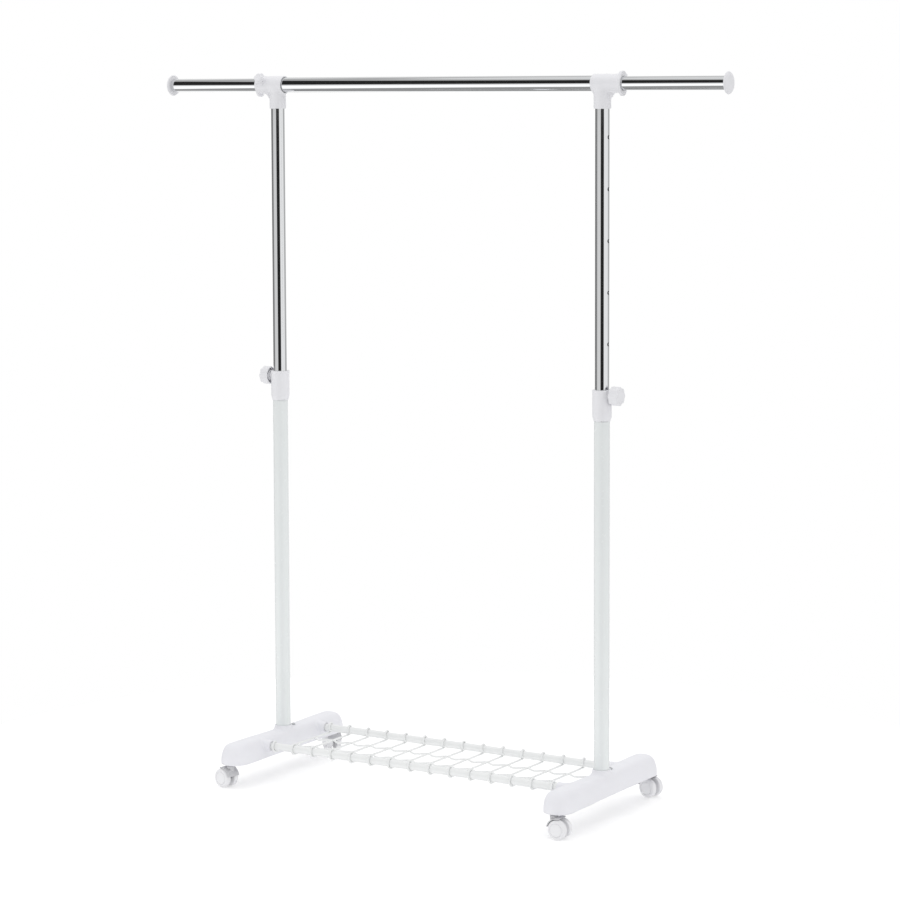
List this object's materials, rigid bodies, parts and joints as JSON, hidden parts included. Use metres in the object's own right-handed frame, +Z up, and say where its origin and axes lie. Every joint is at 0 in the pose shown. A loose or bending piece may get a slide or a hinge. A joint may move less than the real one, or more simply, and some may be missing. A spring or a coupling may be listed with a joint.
{
  "type": "rolling clothes rack",
  "caption": "Wheeled garment rack with a height-adjustable chrome mast, a hanging rail that extends at each end, moulded feet on twin-wheel casters and a wire shoe shelf.",
  "frame": {"origin": "on the floor, midway between the two posts and midway between the front and rear of the feet", "axes": "+Z up; +X to the rack's right, along the hanging rail; +Y to the rear"},
  "size_m": [1.352, 0.4377, 1.503],
  "materials": {
    "foot_plastic": "white moulded plastic, fine satin grain",
    "fitting_plastic": "white moulded plastic, satin",
    "grey_plastic": "mid grey moulded plastic",
    "dark_plastic": "dark moulded plastic",
    "white_paint": "white powder coat, semi gloss",
    "shelf_coating": "white dipped coating, semi gloss",
    "chrome": "polished chrome plate",
    "steel": "zinc-plated steel",
    "caster_grey": "light grey moulded plastic",
    "wheel_plastic": "white moulded plastic"
  },
  "bodies": {
    "base": {"left_foot": "foot_plastic", "left_foot_screw": "grey_plastic", "left_post_bolt": "steel", "left_post_plug": "dark_plastic", "left_lower_post": "white_paint", "left_height_collar": "fitting_plastic", "left_knob_bush": "grey_plastic", "right_foot": "foot_plastic", "right_foot_screw": "grey_plastic", "right_post_bolt": "steel", "right_post_plug": "dark_plastic", "right_lower_post": "white_paint", "right_height_collar": "fitting_plastic", "right_knob_bush": "grey_plastic", "shelf_front_bar": "shelf_coating", "shelf_rear_bar": "shelf_coating", "shelf_net": "shelf_coating"},
    "mast": {"main_rail": "chrome", "left_upper_post": "chrome", "left_post_glide": "dark_plastic", "left_tee": "fitting_plastic", "right_upper_post": "chrome", "right_post_glide": "dark_plastic", "right_tee": "fitting_plastic"},
    "left_extension": {"left_extension_rail": "chrome", "left_rail_glide": "dark_plastic", "left_end_cap": "fitting_plastic"},
    "left_rail_lock": {"left_rail_lock": "fitting_plastic"},
    "left_height_lock": {"left_height_knob": "fitting_plastic", "left_lock_pin": "steel", "left_lock_spring": "steel"},
    "right_extension": {"right_extension_rail": "chrome", "right_rail_glide": "dark_plastic", "right_end_cap": "fitting_plastic"},
    "right_rail_lock": {"right_rail_lock": "fitting_plastic"},
    "right_height_lock": {"right_height_knob": "fitting_plastic", "right_lock_pin": "steel", "right_lock_spring": "steel"},
    "front_left_swivel": {"front_left_caster_stem": "steel", "front_left_caster_hood": "caster_grey", "front_left_caster_axle": "steel"},
    "front_left_wheel_1": {"front_left_caster_wheel_1": "wheel_plastic"},
    "front_left_wheel_2": {"front_left_caster_wheel_2": "wheel_plastic"},
    "front_right_swivel": {"front_right_caster_stem": "steel", "front_right_caster_hood": "caster_grey", "front_right_caster_axle": "steel"},
    "front_right_wheel_1": {"front_right_caster_wheel_1": "wheel_plastic"},
    "front_right_wheel_2": {"front_right_caster_wheel_2": "wheel_plastic"},
    "rear_left_swivel": {"rear_left_caster_stem": "steel", "rear_left_caster_hood": "caster_grey", "rear_left_caster_axle": "steel"},
    "rear_left_wheel_1": {"rear_left_caster_wheel_1": "wheel_plastic"},
    "rear_left_wheel_2": {"rear_left_caster_wheel_2": "wheel_plastic"},
    "rear_right_swivel": {"rear_right_caster_stem": "steel", "rear_right_caster_hood": "caster_grey", "rear_right_caster_axle": "steel"},
    "rear_right_wheel_1": {"rear_right_caster_wheel_1": "wheel_plastic"},
    "rear_right_wheel_2": {"rear_right_caster_wheel_2": "wheel_plastic"}
  },
  "joints": [
    {"name": "mast_height", "type": "slide", "parent": "base", "child": "mast", "axis": [0, 0, 1], "range_m": [-0.515, 0.103]},
    {"name": "left_extension_slide", "type": "slide", "parent": "mast", "child": "left_extension", "axis": [-1, 0, 0], "range_m": [-0.22, 0.025]},
    {"name": "left_rail_lock_turn", "type": "hinge", "parent": "mast", "child": "left_rail_lock", "pos_m": [-0.424, 0, 1.478], "axis": [0, -0.866, 0.5], "range_deg": [0, 540]},
    {"name": "left_height_lock_pull", "type": "slide", "parent": "base", "child": "left_height_lock", "axis": [-1, 0, 0], "range_m": [0, 0.005], "stiffness_N_per_m": 600, "springref_m": -0.006, "deforming": ["left_lock_spring"]},
    {"name": "right_extension_slide", "type": "slide", "parent": "mast", "child": "right_extension", "axis": [1, 0, 0], "range_m": [-0.22, 0.025]},
    {"name": "right_rail_lock_turn", "type": "hinge", "parent": "mast", "child": "right_rail_lock", "pos_m": [0.424, 0, 1.478], "axis": [0, 0.866, 0.5], "range_deg": [0, 540]},
    {"name": "right_height_lock_pull", "type": "slide", "parent": "base", "child": "right_height_lock", "axis": [1, 0, 0], "range_m": [0, 0.005], "stiffness_N_per_m": 600, "springref_m": -0.006, "deforming": ["right_lock_spring"]},
    {"name": "front_left_swivel_turn", "type": "hinge", "parent": "base", "child": "front_left_swivel", "pos_m": [-0.393, -0.194, 0], "axis": [0, 0, 1], "continuous": true},
    {"name": "front_left_wheel_1_roll", "type": "hinge", "parent": "front_left_swivel", "child": "front_left_wheel_1", "pos_m": [-0.40572, -0.1913, 0.02], "axis": [-0.2079, -0.9781, 0], "continuous": true},
    {"name": "front_left_wheel_2_roll", "type": "hinge", "parent": "front_left_swivel", "child": "front_left_wheel_2", "pos_m": [-0.40572, -0.1913, 0.02], "axis": [-0.2079, -0.9781, 0], "continuous": true},
    {"name": "front_right_swivel_turn", "type": "hinge", "parent": "base", "child": "front_right_swivel", "pos_m": [0.393, -0.194, 0], "axis": [0, 0, 1], "continuous": true},
    {"name": "front_right_wheel_1_roll", "type": "hinge", "parent": "front_right_swivel", "child": "front_right_wheel_1", "pos_m": [0.406, -0.194, 0.02], "axis": [0, 1, 0], "continuous": true},
    {"name": "front_right_wheel_2_roll", "type": "hinge", "parent": "front_right_swivel", "child": "front_right_wheel_2", "pos_m": [0.406, -0.194, 0.02], "axis": [0, 1, 0], "continuous": true},
    {"name": "rear_left_swivel_turn", "type": "hinge", "parent": "base", "child": "rear_left_swivel", "pos_m": [-0.393, 0.194, 0], "axis": [0, 0, 1], "continuous": true},
    {"name": "rear_left_wheel_1_roll", "type": "hinge", "parent": "rear_left_swivel", "child": "rear_left_wheel_1", "pos_m": [-0.4039, 0.20108, 0.02], "axis": [-0.5446, -0.8387, 0], "continuous": true},
    {"name": "rear_left_wheel_2_roll", "type": "hinge", "parent": "rear_left_swivel", "child": "rear_left_wheel_2", "pos_m": [-0.4039, 0.20108, 0.02], "axis": [-0.5446, -0.8387, 0], "continuous": true},
    {"name": "rear_right_swivel_turn", "type": "hinge", "parent": "base", "child": "rear_right_swivel", "pos_m": [0.393, 0.194, 0], "axis": [0, 0, 1], "continuous": true},
    {"name": "rear_right_wheel_1_roll", "type": "hinge", "parent": "rear_right_swivel", "child": "rear_right_wheel_1", "pos_m": [0.40572, 0.1913, 0.02], "axis": [0.2079, 0.9781, 0], "continuous": true},
    {"name": "rear_right_wheel_2_roll", "type": "hinge", "parent": "rear_right_swivel", "child": "rear_right_wheel_2", "pos_m": [0.40572, 0.1913, 0.02], "axis": [0.2079, 0.9781, 0], "continuous": true}
  ]
}
